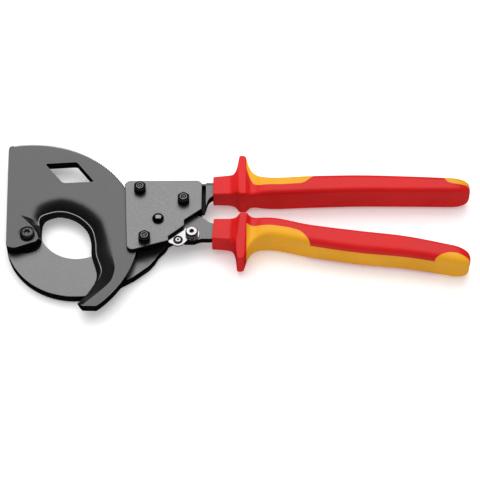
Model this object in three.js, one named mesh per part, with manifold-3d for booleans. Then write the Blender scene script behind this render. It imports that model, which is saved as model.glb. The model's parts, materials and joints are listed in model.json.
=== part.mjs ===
// Ratchet cable cutter: a toothed blade swings on a screw over a fixed hooked blade,
// driven by a pawl on the moving handle and held by a second pawl in the housing.
// Millimetres. While it is drawn, the origin is the toothed blade's pivot, with X towards
// the handles and Z = 0 between the two blades. At the end the group is shifted so that
// the origin is the middle of the underside.
import * as THREE from 'three';
import { mergeVertices } from 'three/addons/utils/BufferGeometryUtils.js';
import Module from 'manifold-3d';

const wasm = await Module();
wasm.setup();

// Driving dimensions
const TOOTH_RADIUS = 74.8;
const TOOTH_DEPTH = 0.9;
const TOOTH_PITCH_DEG = 1.2;
const TOOTH_RISE_SHARE = 0.3;
const TEETH_FROM_DEG = -14;
const TEETH_TO_DEG = 101;
const BLADE_TOP = 6.6;
const BLADE_BOTTOM = 0.1;
const FRAME_TOP = -0.1;
const FRAME_BOTTOM = -6.5;
const REST_Z = -8.4;
const REAR_COVER_TOP = -6.6;
const COVER_BOTTOM = 7.1;
const COVER_TOP = 9.5;
const HANDLE_BOTTOM = 0.3;
const FIXED_HANDLE_TOP = 6.5;
const LEVER_TOP = 5.1;
const PIVOT_PIN_RADIUS = 3;
const HOLDING_PIN_RADIUS = 1.6;
const DRIVE_PIN_RADIUS = 1.4;
const WIRE = 0.6;
const FIT = 0.25;
const SEAT = 0.1;
const ROUND = 18;

const BLADE_PIVOT = [0, 0];
const HANDLE_PIVOT = [87.3, 10.3];
const STUDS = { upper_left: [74.6, 34.2], right: [104.1, 25.1], lower_left: [78.6, -5.9] };
const HOLDING_PAWL_PIN = [80.6, 26.2];
const DRIVE_PAWL_PIN = [79.3, 7.3];
const LATCH_PIVOT = [109.9, 0.1];
const LATCH_SPRING_PIN = [100.8, -4.7];

const GRIP_CENTRE_Z = 3.2;
const GRIP_HALF_HEIGHT = 10.8;
const INLAY_DEPTH = 1.8;
const INLAY_SIDE_HALF = 7.4;
const GUARD_BACK_X = 146.7;
const GUARD_END_X = 166;
const SEAM = 0.3;

const MATERIALS = {
  blade_steel: [0x4a4b4d, 0.4, 0.7],
  plate_steel: [0x6b6c6e, 0.45, 0.6],
  handle_steel: [0x55565a, 0.45, 0.6],
  black_steel: [0x141414, 0.3, 0.6],
  bright_steel: [0xd8d8d8, 0.15, 1],
  spring_steel: [0x8a8a8c, 0.3, 0.9],
  red_plastic: [0xd4141a, 0.45, 0],
  yellow_plastic: [0xf2a900, 0.5, 0],
};

const assembly = new THREE.Group();
assembly.name = 'cable_cutter';
const body = new THREE.Group();
assembly.add(body);

// ---- solids -------------------------------------------------------------------------

function solid(geometry) {
  const bare = geometry.clone();
  bare.deleteAttribute('normal');
  bare.deleteAttribute('uv');
  const merged = mergeVertices(bare, 1e-4);
  const index = [];
  for (let i = 0; i < merged.index.count; i += 3) {
    const [a, b, c] = [0, 1, 2].map((k) => merged.index.getX(i + k));
    if (a !== b && b !== c && a !== c) index.push(a, b, c);
  }
  const vertProperties = new Float32Array(merged.attributes.position.array);
  const triVerts = new Uint32Array(index);
  return new wasm.Manifold(new wasm.Mesh({ numProp: 3, vertProperties, triVerts }));
}

function add(name, material, shape) {
  const geometry = new THREE.BufferGeometry();
  const mesh = shape.getMesh();
  const positions = new Float32Array(mesh.vertProperties);
  geometry.setAttribute('position', new THREE.BufferAttribute(positions, 3));
  geometry.setIndex(new THREE.BufferAttribute(new Uint32Array(mesh.triVerts), 1));
  geometry.computeVertexNormals();
  const [color, roughness, metalness] = MATERIALS[material];
  const finish = new THREE.MeshStandardMaterial({ color, roughness, metalness });
  const part = new THREE.Mesh(geometry, finish);
  part.name = name;
  body.add(part);
}

const flatShape = (points) => new THREE.Shape(points.map(([x, y]) => new THREE.Vector2(x, y)));

function plate(points, bottom, top) {
  const options = { depth: top - bottom, bevelEnabled: false };
  const geometry = new THREE.ExtrudeGeometry(flatShape(points), options);
  return solid(geometry.translate(0, 0, bottom));
}

function disc([x, y], radius, bottom, top, sides = ROUND, topRadius = radius) {
  const geometry = new THREE.CylinderGeometry(topRadius, radius, top - bottom, sides);
  return solid(geometry.rotateX(Math.PI / 2).translate(x, y, (top + bottom) / 2));
}

function turned([x, y], profile, sides = ROUND) {
  const geometry = new THREE.LatheGeometry(profile.map(([r, z]) => new THREE.Vector2(r, z)), sides);
  return solid(geometry.rotateX(Math.PI / 2).translate(x, y, 0));
}

function box([x0, y0, z0], [x1, y1, z1]) {
  const geometry = new THREE.BoxGeometry(x1 - x0, y1 - y0, z1 - z0);
  return solid(geometry.translate((x0 + x1) / 2, (y0 + y1) / 2, (z0 + z1) / 2));
}

// A closed skin through rings of the same length, with flat ends. flatten turns a ring's
// points into plane ones, counter-clockwise seen from the last ring's side.
function skin(loops, flatten) {
  const clockwise = THREE.ShapeUtils.isClockWise(loops[0].map(flatten));
  const rings = clockwise ? loops.map((loop) => loop.slice().reverse()) : loops;
  const count = rings[0].length;
  const index = [];
  for (let i = 0; i + 1 < rings.length; i += 1) {
    for (let j = 0; j < count; j += 1) {
      const a = i * count + j;
      const b = i * count + ((j + 1) % count);
      index.push(a, b, b + count, a, b + count, a + count);
    }
  }
  const flatEnd = (ring) => THREE.ShapeUtils.triangulateShape(ring.map(flatten), []);
  const last = (rings.length - 1) * count;
  for (const [a, b, c] of flatEnd(rings[0])) index.push(c, b, a);
  for (const [a, b, c] of flatEnd(rings.at(-1))) index.push(last + a, last + b, last + c);
  const geometry = new THREE.BufferGeometry();
  const positions = rings.flat().flatMap((point) => [point.x, point.y, point.z]);
  geometry.setAttribute('position', new THREE.BufferAttribute(new Float32Array(positions), 3));
  geometry.setIndex(index);
  return solid(geometry);
}

// ---- outlines -----------------------------------------------------------------------

const polar = (radius, degrees, [x, y] = BLADE_PIVOT) => {
  const angle = THREE.MathUtils.degToRad(degrees);
  return [x + radius * Math.cos(angle), y + radius * Math.sin(angle)];
};

function arc(centre, radius, from, to, steps) {
  const turn = (to - from) / steps;
  return Array.from({ length: steps + 1 }, (_, i) => polar(radius, from + turn * i, centre));
}

function curve(points, steps) {
  const path = new THREE.SplineCurve(points.map(([x, y]) => new THREE.Vector2(x, y)));
  return path.getPoints(steps).map((point) => [point.x, point.y]);
}

// Corners cut by a quadratic curve that starts this far before each corner.
function rounded(points, radius) {
  return points.flatMap((corner, i) => {
    const here = new THREE.Vector2(...corner);
    const ends = [points.at(i - 1), points[(i + 1) % points.length]].map((neighbour) => {
      const side = new THREE.Vector2(...neighbour).sub(here);
      return here.clone().addScaledVector(side.normalize(), radius);
    });
    const bend = new THREE.QuadraticBezierCurve(ends[0], here, ends[1]);
    return bend.getPoints(3).map((point) => [point.x, point.y]);
  });
}

const COVER_OUTLINE = [
  ...arc([70.6, -10.4], 3.9, 183, 285, 6),
  [94.6, -6.9], [94.2, -3.8], [104.8, 5.2], [104.8, 9.5], [116.4, 18.6],
  ...arc([112.6, 38], 3.9, 0, 90, 6),
  ...arc([68.2, 37.8], 3.9, 92, 178, 6),
];

// ---- toothed blade ------------------------------------------------------------------

// Matching points on the sharp edge, the rim above it and the hollow grind's outer border.
const GRIND = [
  [[9.4, -1.5], [8.6, -1.6], [7.6, -2.5]],
  [[9.3, 6.6], [8.2, 6.5], [4.3, 4.3]],
  [[10.1, 11.8], [6.6, 13], [-4.9, 15]],
  [[12.8, 15], [8.9, 18.4], [3, 27.5]],
  [[20.8, 17.4], [20.8, 21.7], [21.2, 32.8]],
  [[31, 14.3], [32.5, 18], [38, 27.3]],
  [[38.8, 6.7], [42, 8.8], [51, 16]],
  [[42.2, -2.8], [45.6, -2], [56.2, 0]],
  [[43, -13.5], [46.6, -13.4], [58, -14]],
  [[45.8, -23.5], [50, -23.5], [59, -25]],
  [[47, -29.2], [50.9, -29], [58.6, -31]],
  [[45.5, -36.2], [48.8, -36.6], [55, -38]],
  [[40.2, -43.5], [43.4, -44.6], [49.5, -45.3]],
  [[35.5, -49.6], [37.2, -51.8], [40.5, -55.8]],
];
const GRIND_STEPS = 26;
const BLADE_BORE = 5;
const SCREW_RECESS_RADIUS = 6.2;
const RIM_Z = 2;
const HOLLOW_Z = 3.1;
const HOLLOW_SHARE = 0.4;

function toothedEdge() {
  const points = [];
  for (let angle = TEETH_FROM_DEG; angle < TEETH_TO_DEG; angle += TOOTH_PITCH_DEG) {
    points.push(polar(TOOTH_RADIUS - TOOTH_DEPTH, angle));
    points.push(polar(TOOTH_RADIUS, angle + TOOTH_RISE_SHARE * TOOTH_PITCH_DEG));
  }
  return points;
}

function toothedBlade() {
  const track = (column, steps = GRIND_STEPS) => curve(GRIND.map((row) => row[column]), steps);
  const edge = track(0);
  const outline = [
    ...arc([-9.6, -6.6], 4.2, 185, 270, 5), [-7.6, -10.9], [5.8, -5.9],
    ...edge, [35.4, -51.2], [36.8, -53.9], [39, -56.6], [48, -56.8],
    ...arc(BLADE_PIVOT, TOOTH_RADIUS - 0.2, -48, TEETH_FROM_DEG - 1, 10),
    ...toothedEdge(), polar(TOOTH_RADIUS - 0.6, 102.6), [-16.8, 70],
  ];
  const mouth = [[28, -54], [20, -20]];
  const level = (points, z) => [...points, ...mouth].map(([x, y]) => new THREE.Vector3(x, y, z));
  const rim = track(1);
  const border = track(2);
  const between = rim.map(([x, y], i) => [
    x + (border[i][0] - x) * HOLLOW_SHARE, y + (border[i][1] - y) * HOLLOW_SHARE,
  ]);
  const levels = [
    level(edge, 0), level(rim, RIM_Z), level(between, HOLLOW_Z), level(border, BLADE_TOP + 0.2),
  ];
  const grind = skin(levels, (point) => new THREE.Vector2(point.x, point.y));
  const window = rounded([[9, 57.9], [21.8, 41.9], [43, 43], [30.6, 59.4]], 2);
  return plate(outline, BLADE_BOTTOM, BLADE_TOP)
    .subtract(grind)
    .subtract(plate(window, -1, 8))
    .subtract(disc(BLADE_PIVOT, BLADE_BORE, -1, 8))
    .subtract(disc(BLADE_PIVOT, SCREW_RECESS_RADIUS, BLADE_TOP - 0.6, 8));
}

// ---- fixed blade and housing --------------------------------------------------------

const HOOK_CENTRE = [33.1, 10.9];
const HOOK_RADIUS = 26.3;
const HOOK_BACK_CENTRE = [33.2, 2.7];
const HOOK_BACK_RADIUS = 48;

function boreEach(shape, holes) {
  return holes.reduce((left, [centre, radius]) => left.subtract(disc(centre, radius, -12, 20)), shape);
}

const STUD_RADIUS = 2.5;
const studHoles = Object.values(STUDS).map((centre) => [centre, STUD_RADIUS + FIT]);

function fixedBlade() {
  const outline = [
    ...arc([0, 0], 10.6, 35, 165, 8),
    ...arc(HOOK_BACK_CENTRE, HOOK_BACK_RADIUS, 187, 308, 22),
    [71.7, -29.6], [81.6, -21.3], [85.3, -16.4],
    ...curve([[87.6, -12], [89.6, -9.6], [92, -6.8], [94, -3], [95, 2]], 6),
    [104, 9.2], [116, 18.2], [116, 40], [113.5, 41.4], [67, 41.4], [61.6, 36.5],
    ...arc(HOOK_CENTRE, HOOK_RADIUS, 20, -157, 30),
  ];
  const edgeBevel = disc(HOOK_CENTRE, HOOK_RADIUS + 3, -8, -1.2, 40, HOOK_RADIUS - 0.4);
  return boreEach(plate(outline, FRAME_BOTTOM, FRAME_TOP).subtract(edgeBevel), [
    ...studHoles, [BLADE_PIVOT, 3.2], [HANDLE_PIVOT, PIVOT_PIN_RADIUS + FIT],
    [HOLDING_PAWL_PIN, HOLDING_PIN_RADIUS + FIT],
  ]);
}

const COUNTERSINK = 4.4;

function cover(bottom, top) {
  const pinHole = [HANDLE_PIVOT, PIVOT_PIN_RADIUS + FIT];
  return boreEach(plate(COVER_OUTLINE, bottom, top), [...studHoles, pinHole]);
}

function rearCover() {
  const centres = [...Object.values(STUDS), HANDLE_PIVOT];
  return centres.reduce(
    (left, centre) => left.subtract(disc(centre, COUNTERSINK, REST_Z - 1, REST_Z + 1.2)),
    cover(REST_Z, REAR_COVER_TOP),
  );
}

const NUT_BOTTOM = COVER_TOP + SEAT;
const NUT_TOP = NUT_BOTTOM + 4.4;
const HEAD_RADIUS = COUNTERSINK - FIT;

function stud(centre) {
  return turned(centre, [
    [0, REST_Z + SEAT], [HEAD_RADIUS, REST_Z + SEAT], [HEAD_RADIUS, REST_Z + 1.1],
    [STUD_RADIUS, REST_Z + 1.1], [STUD_RADIUS, NUT_TOP + 0.4], [2.1, NUT_TOP + 0.8],
    [1.3, NUT_TOP + 0.8], [1, NUT_TOP + 0.3], [0, NUT_TOP + 0.3],
  ]);
}

function nut(centre) {
  const hexagon = disc(centre, 4.5, NUT_BOTTOM, NUT_TOP - 0.7, 6);
  const crown = disc(centre, 4.5, NUT_TOP - 0.7, NUT_TOP, 6, 3.9);
  return hexagon.add(crown).subtract(disc(centre, STUD_RADIUS + FIT, 0, 20));
}

function ring(centre, outer, inner, bottom, top) {
  return disc(centre, outer, bottom, top).subtract(disc(centre, inner, bottom - 1, top + 1));
}

function handlePivotPin() {
  return turned(HANDLE_PIVOT, [
    [0, REST_Z + SEAT], [HEAD_RADIUS, REST_Z + SEAT], [HEAD_RADIUS, REST_Z + 1.1],
    [PIVOT_PIN_RADIUS, REST_Z + 1.1], [PIVOT_PIN_RADIUS, COVER_TOP + SEAT],
    [4, COVER_TOP + SEAT], [4, COVER_TOP + 0.8],
    [3.5, COVER_TOP + 1.9], [2.2, COVER_TOP + 2.6], [0, COVER_TOP + 2.9],
  ]);
}

function bladeScrew() {
  const seat = BLADE_TOP - 0.5;
  const screw = turned(BLADE_PIVOT, [
    [0, -6.9], [2.9, -6.9], [2.9, seat], [5, seat], [5, seat + 1.6],
    [4.3, seat + 2.6], [3.2, seat + 3], [0, seat + 3.1],
  ]);
  const floor = seat + 1.2;
  const lobes = [0, 1, 2, 3, 4, 5].map((i) => disc(polar(1.7, 60 * i), 0.75, floor, seat + 4, 8));
  const socket = disc(BLADE_PIVOT, 1.8, floor, 12);
  return [socket, ...lobes].reduce((left, lobe) => left.subtract(lobe), screw);
}

// ---- handles ------------------------------------------------------------------------

// Middle of each grip, seen from above: [x, y, width].
const UPPER_LINE = [
  [123, 37.4, 15.6], [134, 37.4, 15.8], [165, 36.5, 15.6], [189, 37.6, 15.9], [222, 38.6, 15.7],
  [254, 38.1, 14.9], [285, 37.2, 13.4], [299, 36.6, 13],
];
const LOWER_LINE = [
  [123, 4, 16.2], [134, 3.7, 16.2], [164, 2.4, 16.2], [188, -2.9, 16.7], [220, -7.7, 16.2],
  [252, -10.7, 15.3], [280, -17.4, 13.9], [297, -22.4, 13.4],
];

function along(line, column) {
  return (x) => {
    const i = Math.max(1, line.findIndex((row) => row[0] >= x));
    const [before, after] = [line[i - 1], line[i]];
    const share = THREE.MathUtils.clamp((x - before[0]) / (after[0] - before[0]), 0, 1);
    const slope = (k) => {
      const [a, b] = [line[Math.max(0, k - 1)], line[Math.min(line.length - 1, k + 1)]];
      return (b[column] - a[column]) / (b[0] - a[0]);
    };
    const run = after[0] - before[0];
    const [s2, s3] = [share ** 2, share ** 3];
    return (2 * s3 - 3 * s2 + 1) * before[column] + (s3 - 2 * s2 + share) * run * slope(i - 1)
      + (3 * s2 - 2 * s3) * after[column] + (s3 - s2) * run * slope(i);
  };
}

const CORE_HALF = 4;
const CORE_STATIONS = [140, 164, 188, 220, 252, 278];

function coreSides(line, half) {
  const middle = along(line, 1);
  return {
    upper: CORE_STATIONS.map((x) => [x, middle(x) + half]),
    lower: CORE_STATIONS.map((x) => [x, middle(x) - half]).reverse(),
  };
}

const rad = (degrees) => THREE.MathUtils.degToRad(degrees);

function fixedHandleOutline(spare) {
  const core = coreSides(UPPER_LINE, CORE_HALF + spare);
  return [
    [119.2, 42.2 + spare], [130, 42.2 + spare], ...core.upper, ...core.lower,
    [130, 29.9 - spare],
  ];
}

function fixedHandle() {
  const housed = [
    ...curve([[124.2, 29.9], [121.6, 28.8], [120.2, 26], [119.3, 22.6], [118.2, 19.2]], 6),
    [98, 19.2], [92.5, 20.6], [85, 30], ...arc(BLADE_PIVOT, TOOTH_RADIUS + 1.2, 23.3, 32.6, 5),
    [119.2, 41.2],
  ];
  const outline = [...fixedHandleOutline(0), ...housed];
  const relief = box([116.6, 15, 2.8], [119.1, 45, 8]);
  return boreEach(plate(outline, HANDLE_BOTTOM, FIXED_HANDLE_TOP).subtract(relief), studHoles);
}

function movingHandleOutline(spare) {
  const core = coreSides(LOWER_LINE, CORE_HALF + spare);
  return [
    [121.4, -2.9 - spare], [130, -2.4 - spare], ...core.lower.slice().reverse(),
    ...core.upper.slice().reverse(), [130, 9.2 + spare],
  ];
}

function movingHandle() {
  const outline = [
    ...movingHandleOutline(0),
    [124.4, 9.6], [121.4, 10.7], [118, 13.5], [115.2, 15.5], [112, 16.2], [88, 15.8],
    ...arc(HANDLE_PIVOT, 5.5, 95, 265, 14), [94, 2.6], [100.6, -0.4], [103.2, -3.6], [105.2, -4.8],
    [111.7, -4.8], [114, -3.6], [116.4, -2.9],
  ];
  const lug = disc(DRIVE_PAWL_PIN, 2.7, HANDLE_BOTTOM, 1.8).add(
    plate([[79.9, 9.9], [78, 5], [88, 6], [88, 13]], HANDLE_BOTTOM, 1.8),
  );
  return boreEach(plate(outline, HANDLE_BOTTOM, LEVER_TOP).add(lug), [
    [HANDLE_PIVOT, 3.9], [DRIVE_PAWL_PIN, DRIVE_PIN_RADIUS + FIT], [LATCH_PIVOT, 2 + FIT],
  ]);
}

// ---- pawls, springs and latch -------------------------------------------------------

function pawl(pin, bossRadius, pinRadius, nose, bottom, top) {
  const shape = disc(pin, bossRadius, bottom, top).add(plate(nose, bottom, top));
  return shape.subtract(disc(pin, pinRadius + FIT, bottom - 1, top + 1));
}

function torsionSpring([x, y], radius, bottom, wire, turns, startDeg, leg) {
  class Coil extends THREE.Curve {
    getPoint(t, target = new THREE.Vector3()) {
      const [px, py] = polar(radius, startDeg + 360 * turns * t);
      return target.set(x + px, y + py, bottom + wire / 2 + t * turns * wire * 1.25);
    }
  }
  const path = new THREE.CurvePath();
  const coil = new Coil();
  const first = coil.getPoint(0);
  const tangent = coil.getTangent(0).setZ(0).normalize();
  path.add(new THREE.LineCurve3(first.clone().addScaledVector(tangent, -leg), first));
  path.add(coil);
  const section = new THREE.Shape().absarc(0, 0, wire / 2, 0, 2 * Math.PI);
  const steps = Math.round(12 * turns) + 2;
  return solid(new THREE.ExtrudeGeometry(section, {
    steps, curveSegments: 3, bevelEnabled: false, extrudePath: path,
  }));
}

function latch() {
  const [bottom, top] = [LEVER_TOP + 0.3, LEVER_TOP + 1.4];
  const arm = [
    [91.6, -4.2], [93.2, -6], [97.2, -8], [104.6, -7.6], [107.4, -4.4], [110, 5.2],
    [105.4, 4.7], [93.4, -2.6],
  ];
  const shape = plate(arm, bottom, top)
    .add(disc(LATCH_PIVOT, 5.1, bottom, top))
    .add(disc(LATCH_SPRING_PIN, 4.7, bottom, top));
  return boreEach(shape, [[LATCH_PIVOT, 2 + FIT], [LATCH_SPRING_PIN, 1.4 + FIT]]);
}

function latchRivet() {
  return turned(LATCH_PIVOT, [
    [0, HANDLE_BOTTOM + 0.1], [2, HANDLE_BOTTOM + 0.1], [2, LEVER_TOP + 1.5],
    [4.2, LEVER_TOP + 1.5], [4.2, LEVER_TOP + 4.6], [3.7, LEVER_TOP + 5.1],
    [1.4, LEVER_TOP + 5.1], [1.3, LEVER_TOP + 3.2], [0, LEVER_TOP + 3.2],
  ]);
}

function latchSpringPin() {
  return turned(LATCH_SPRING_PIN, [
    [0, 3.6], [2.2, 3.6], [2.2, 4.9], [1.4, 4.9], [1.4, LEVER_TOP + 1.45],
    [2.9, LEVER_TOP + 1.45], [2.7, LEVER_TOP + 1.75], [0, LEVER_TOP + 1.75],
  ]);
}

// ---- grips --------------------------------------------------------------------------

// Each station along a grip: x, how far the guard stands out, half the height in Z.
const GUARD = [
  [123, 0, 6.8], [131, 0.6, 7.2], [135.5, 3, 8.4], [138.6, 8, 10.2], [140.8, 18, 11.3],
  [141.6, 21, 11.6], [145.4, 21, 11.6], [146.6, 16, 11.4], [149, 8, 11.1], [152.5, 3, 10.9],
  [158, 0.7, 10.8], [166, 0, GRIP_HALF_HEIGHT],
];
const GRIP_STATIONS = [
  124, 131, 135.5, 138.6, 140.8, 141.6, 145.4, 147.2, 149, 152.5, 158, 166, 188, 220, 252, 280, 288,
];
const TIP_STEPS = 4;
const GUARD_TAPER = 0.36;

function gripRing(line, outward, x, inset, shrink) {
  const centre = along(line, 1)(x);
  const half = along(line, 2)(x) / 2;
  const guard = x < GUARD_END_X ? along(GUARD, 1)(x) : 0;
  const halfHeight = x < GUARD_END_X ? along(GUARD, 2)(x) : GRIP_HALF_HEIGHT;
  const outerHalf = halfHeight - guard * GUARD_TAPER;
  const inner = half + guard * 0.08 - inset;
  const corners = [
    [-inner, -halfHeight + inset], [half + guard - inset, -outerHalf + inset],
    [half + guard - inset, outerHalf - inset], [-inner, halfHeight - inset],
  ];
  const section = rounded(corners, 4.2 - inset * 0.6);
  return section.map(([across, up]) => new THREE.Vector3(
    x, centre + outward * across * shrink, GRIP_CENTRE_Z + up * shrink,
  ));
}

function gripBody(line, outward, end, inset) {
  const start = GRIP_STATIONS[0] + inset;
  const rings = GRIP_STATIONS.filter((x) => x > start).map((x) => gripRing(line, outward, x, inset, 1));
  rings.unshift(gripRing(line, outward, start, inset, 1));
  const tipStart = GRIP_STATIONS.at(-1);
  const length = end - inset - tipStart;
  for (let i = 1; i <= TIP_STEPS; i += 1) {
    const angle = rad((84 * i) / TIP_STEPS);
    const x = tipStart + length * Math.sin(angle);
    rings.push(gripRing(line, outward, x, inset, Math.cos(angle) ** 0.55));
  }
  return skin(rings, (point) => new THREE.Vector2(point.y, point.z));
}

// The yellow zone: the outer half behind the guard and at the tail, the outer side between.
function inlayZone(line, outward, grow) {
  const edge = (x, share) => {
    const half = along(line, 2)(x) / 2;
    return [x, along(line, 1)(x) + outward * (half * share - grow)];
  };
  const far = outward > 0 ? 90 : -60;
  const zone = (from, to, share) => {
    const points = [from, (from + to) / 2, to].map((x) => edge(x, share));
    const outline = [...points, [to, far], [from, far]];
    return outward > 0 ? outline : outline.reverse();
  };
  const reach = INLAY_SIDE_HALF + grow;
  const sideZone = zone(180 - grow, 286 + grow, 0.62);
  const side = plate(sideZone, GRIP_CENTRE_Z - reach, GRIP_CENTRE_Z + reach);
  const front = plate(zone(GUARD_BACK_X - grow, 186 + grow, 0.05), -20, 30);
  const tail = plate(zone(280 - grow, 310, 0.05), -20, 30);
  return side.add(front).add(tail);
}

function grips(name, line, outward, end, coreOutline, coreTop) {
  const whole = gripBody(line, outward, end, 0);
  const inner = gripBody(line, outward, end, INLAY_DEPTH);
  const bed = gripBody(line, outward, end, INLAY_DEPTH + SEAM);
  const pocket = inlayZone(line, outward, SEAM).subtract(bed);
  const inlay = whole.subtract(inner).intersect(inlayZone(line, outward, 0));
  const core = plate(coreOutline, HANDLE_BOTTOM - FIT, coreTop + FIT);
  add(`${name}_grip`, 'red_plastic', whole.subtract(pocket).subtract(core));
  add(`${name}_grip_inlay`, 'yellow_plastic', inlay);
}

// ---- assembly -----------------------------------------------------------------------

add('toothed_blade', 'blade_steel', toothedBlade());
add('blade_bush', 'spring_steel', ring(BLADE_PIVOT, 5 - FIT, 2.9 + FIT, BLADE_BOTTOM, BLADE_TOP - 0.7));
add('blade_pivot_screw', 'black_steel', bladeScrew());
add('fixed_blade', 'blade_steel', fixedBlade());
add('front_cover', 'plate_steel', cover(COVER_BOTTOM, COVER_TOP));
add('rear_cover', 'plate_steel', rearCover());
for (const [name, centre] of Object.entries(STUDS)) {
  add(`stud_${name}`, 'black_steel', stud(centre));
  add(`nut_${name}`, 'black_steel', nut(centre));
}
const spacer = (centre, outer, inner) => ring(centre, outer, inner + FIT, 0, COVER_BOTTOM - SEAT);
add('spacer_lower_left', 'spring_steel', spacer(STUDS.lower_left, 3.5, STUD_RADIUS));
add('fixed_handle', 'handle_steel', fixedHandle());
add('moving_handle', 'handle_steel', movingHandle());
add('handle_pivot_pin', 'black_steel', handlePivotPin());
add('handle_pivot_bush', 'spring_steel', spacer(HANDLE_PIVOT, 3.9 - FIT, PIVOT_PIN_RADIUS));

const holdingNose = [[77.9, 27.4], [74.4, 18.4], [73.6, 16.05], [76.9, 16.3], [83.3, 24.8]];
const driveNose = [[77, 8.4], [75.9, 3], [75.6, 1], [78, 0.6], [81.2, 5.4]];
const holdingPawl = pawl(HOLDING_PAWL_PIN, 3, HOLDING_PIN_RADIUS, holdingNose, 0.6, 4.8);
add('holding_pawl', 'spring_steel', holdingPawl);
add('holding_pawl_pin', 'spring_steel', disc(HOLDING_PAWL_PIN, HOLDING_PIN_RADIUS, -6.3, 6.8, 12));
const holdingSpring = torsionSpring(HOLDING_PAWL_PIN, 2.3, 5, WIRE, 1.8, 200, 4);
add('holding_pawl_spring', 'spring_steel', holdingSpring);
const drivePawl = pawl(DRIVE_PAWL_PIN, 2.6, DRIVE_PIN_RADIUS, driveNose, 2.1, 4.8);
add('drive_pawl', 'spring_steel', drivePawl);
add('drive_pawl_pin', 'spring_steel', disc(DRIVE_PAWL_PIN, DRIVE_PIN_RADIUS, 0.4, 6.7, 12));
const driveSpring = torsionSpring(DRIVE_PAWL_PIN, 2.1, 5, WIRE, 1.6, 120, 3);
add('drive_pawl_spring', 'spring_steel', driveSpring);
const handleSpring = torsionSpring(HANDLE_PIVOT, 4.6, LEVER_TOP + 0.2, WIRE, 1.3, 100, 6);
add('handle_spring', 'spring_steel', handleSpring);
add('latch_lever', 'bright_steel', latch());
add('latch_rivet', 'bright_steel', latchRivet());
add('latch_spring_pin', 'bright_steel', latchSpringPin());

const fixedCore = [...fixedHandleOutline(FIT), [119.2, 29.9 - FIT]];
const movingCore = [...movingHandleOutline(FIT), [121.4, 9.6 + FIT]];
grips('fixed', UPPER_LINE, 1, 298, fixedCore, FIXED_HANDLE_TOP);
grips('moving', LOWER_LINE, -1, 294.5, movingCore, LEVER_TOP);

const bounds = new THREE.Box3().setFromObject(body);
const middle = bounds.getCenter(new THREE.Vector3());
body.position.set(-middle.x, -middle.y, -bounds.min.z);

export default assembly;
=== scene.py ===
"""Ratchet cable cutter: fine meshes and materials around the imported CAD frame.

Shapes are drawn in millimetres from the toothed blade's pivot, with X towards the handles
and Z = 0 between the two blades, and are placed in the frame by the blade bush's box.
"""

import json
import math

import bmesh
import bpy
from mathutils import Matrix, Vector
from mathutils.geometry import tessellate_polygon


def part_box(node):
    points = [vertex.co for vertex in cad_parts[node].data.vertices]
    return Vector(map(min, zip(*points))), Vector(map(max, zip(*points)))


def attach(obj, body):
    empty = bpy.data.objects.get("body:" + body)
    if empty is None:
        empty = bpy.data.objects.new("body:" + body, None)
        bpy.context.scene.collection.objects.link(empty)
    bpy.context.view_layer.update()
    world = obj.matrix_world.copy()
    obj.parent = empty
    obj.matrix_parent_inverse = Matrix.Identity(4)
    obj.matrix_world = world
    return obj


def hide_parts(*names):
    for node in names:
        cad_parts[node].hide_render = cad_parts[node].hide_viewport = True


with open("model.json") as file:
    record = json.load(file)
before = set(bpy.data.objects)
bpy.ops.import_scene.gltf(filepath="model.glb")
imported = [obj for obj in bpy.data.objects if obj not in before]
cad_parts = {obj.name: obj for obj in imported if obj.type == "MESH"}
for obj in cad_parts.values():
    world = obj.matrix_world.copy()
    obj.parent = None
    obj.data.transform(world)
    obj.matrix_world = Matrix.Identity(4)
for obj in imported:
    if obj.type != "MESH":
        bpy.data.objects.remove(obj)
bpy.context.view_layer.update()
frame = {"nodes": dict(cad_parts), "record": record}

MM = 0.001
BLADE_BOTTOM = 0.1
BLADE_TOP = 6.6
FRAME_TOP = -0.1
FRAME_BOTTOM = -6.5
REST_Z = -8.4
REAR_COVER_TOP = -6.6
COVER_BOTTOM = 7.1
COVER_TOP = 9.5
HANDLE_BOTTOM = 0.3
FIXED_HANDLE_TOP = 6.5
LEVER_TOP = 5.1
FIT = 0.25
SEAT = 0.1

PIVOT = (0, 0)
HANDLE_PIVOT = (87.3, 10.3)
STUDS = {"upper_left": (74.6, 34.2), "right": (104.1, 25.1), "lower_left": (78.6, -5.9)}
LATCH_PIVOT = (109.9, 0.1)
LATCH_SPRING_PIN = (100.8, -4.7)

bush_low, bush_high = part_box("blade_bush")
ORIGIN = Vector((
    (bush_low.x + bush_high.x) / 2,
    (bush_low.y + bush_high.y) / 2,
    bush_low.z - BLADE_BOTTOM * MM,
))
BODY_OF = {
    node: body
    for body, nodes in frame["record"]["behaviour"]["bodies"].items()
    for node in nodes
}

# The material slots that most steel pieces share: the steel's own colour, painted shade and a
# painted highlight.
FACE, SHADED, HIGHLIGHT = 0, 1, 2


# ---- outlines -------------------------------------------------------------------------


def polar(radius, degrees, centre=PIVOT):
    angle = math.radians(degrees)
    return (centre[0] + radius * math.cos(angle), centre[1] + radius * math.sin(angle))


def arc(centre, radius, start, end, steps):
    return [polar(radius, start + (end - start) * i / steps, centre) for i in range(steps + 1)]


def curve(points, steps):
    """A smooth curve through the points, with this many steps between neighbours."""
    found = []
    last = len(points) - 1
    for i in range(last):
        a, b, c, d = (points[max(0, min(last, k))] for k in (i - 1, i, i + 1, i + 2))
        for step in range(steps):
            t = step / steps
            found.append(tuple(
                0.5 * (2 * q + (r - p) * t + (2 * p - 5 * q + 4 * r - s) * t * t
                       + (3 * q - p - 3 * r + s) * t ** 3)
                for p, q, r, s in zip(a, b, c, d)
            ))
    return found + [tuple(points[-1])]


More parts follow.
